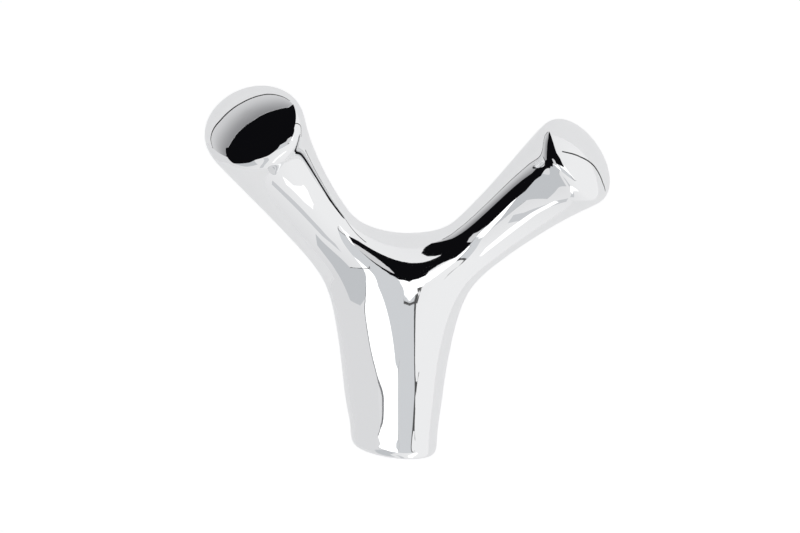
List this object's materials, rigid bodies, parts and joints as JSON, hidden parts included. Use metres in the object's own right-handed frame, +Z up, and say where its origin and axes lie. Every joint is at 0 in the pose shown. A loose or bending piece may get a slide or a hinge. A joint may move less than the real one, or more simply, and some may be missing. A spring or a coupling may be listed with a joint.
{
  "type": "double robe hook",
  "caption": "Polished chrome wall hook: a short round stem forks into two flared, upturned arms with domed ends for hanging robes or towels.",
  "frame": {"origin": "centre of the flat face that lies on the wall, on the axis of the stud hole", "axes": "+Y into the wall, so the hook reaches out along -Y; +Z up as installed; X sideways, with the hook symmetric about x = 0"},
  "size_m": [0.085, 0.0686, 0.0288],
  "materials": {
    "polished_chrome": "mirror-polished chrome plate on a zinc die casting"
  },
  "bodies": {
    "root": {"hook_body": "polished_chrome"}
  },
  "joints": []
}
